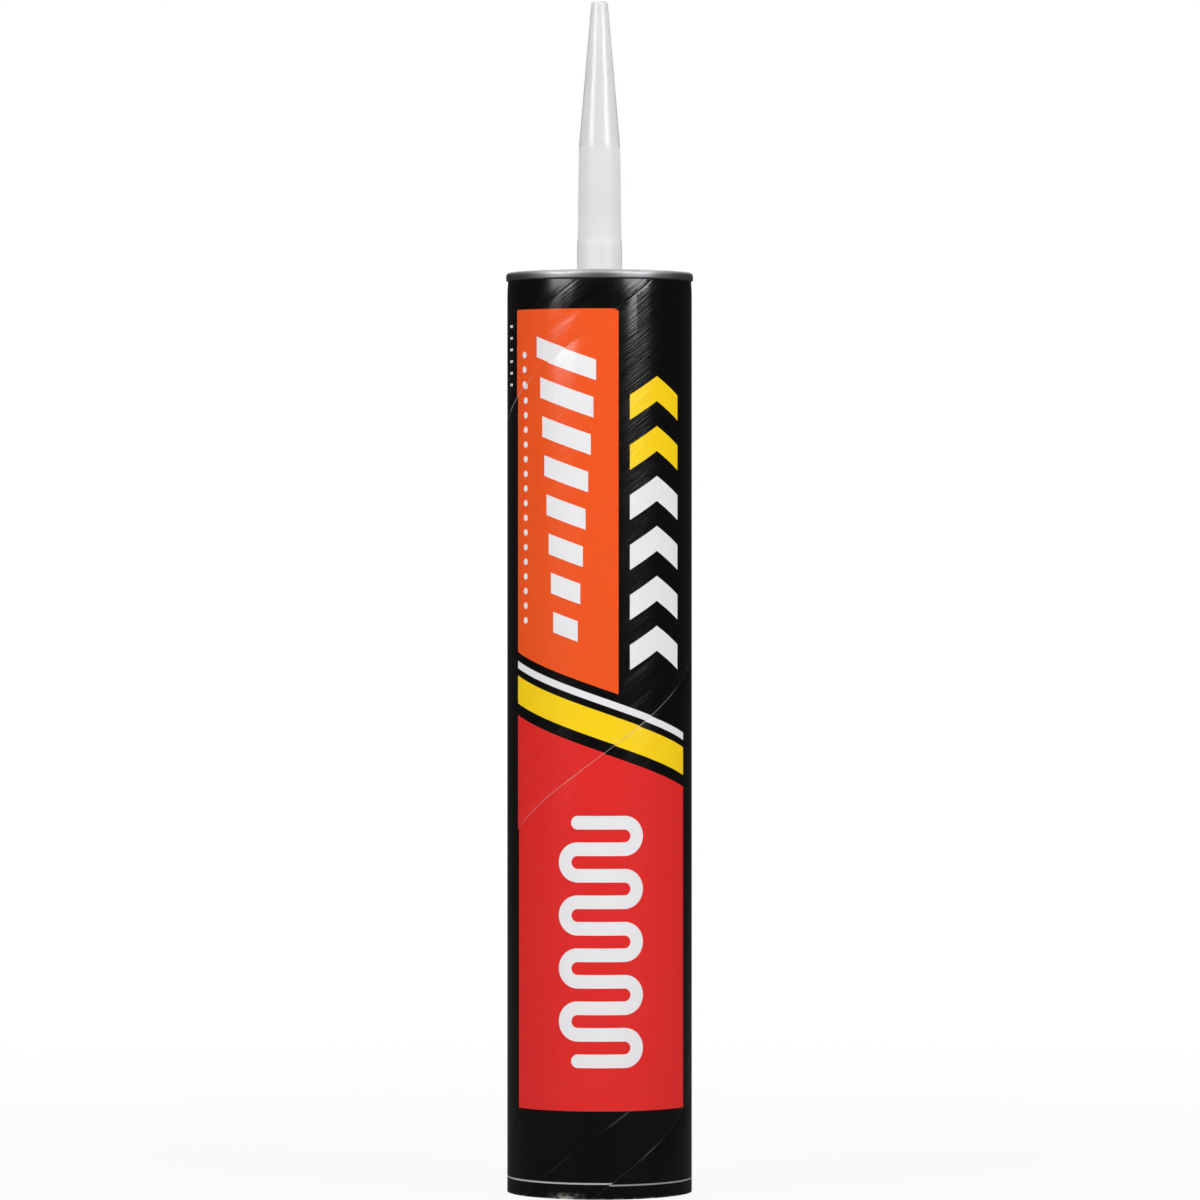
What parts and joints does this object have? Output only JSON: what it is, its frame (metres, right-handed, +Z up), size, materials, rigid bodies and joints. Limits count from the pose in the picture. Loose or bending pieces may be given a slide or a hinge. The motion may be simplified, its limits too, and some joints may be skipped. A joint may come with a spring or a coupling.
{
  "type": "construction adhesive cartridge",
  "caption": "Tall round fibre cartridge of construction adhesive: spiral-wound printed label, rolled metal end, closed tapered nozzle and a sliding plunger in the open foot.",
  "frame": {"origin": "centre of the tube's open foot, on the surface it stands on", "axes": "+Z up along the tube's axis to the nozzle's tip, -Y the front of the label"},
  "size_m": [0.0644, 0.0644, 0.4094],
  "materials": {
    "tube": "matte",
    "label": "satin",
    "metal_end": "satin",
    "nozzle": "satin",
    "inner_seal": "satin",
    "plunger": "satin",
    "adhesive": "matte"
  },
  "bodies": {
    "cartridge": {"tube": "tube", "label": "label", "metal_end": "metal_end", "nozzle": "nozzle", "inner_seal": "inner_seal", "adhesive": "adhesive"},
    "plunger": {"plunger": "plunger"}
  },
  "joints": [
    {"name": "plunger_slide", "type": "slide", "parent": "cartridge", "child": "plunger", "axis": [0, 0, 1], "range_m": [0, 0.2875], "deforming": ["adhesive"]}
  ]
}
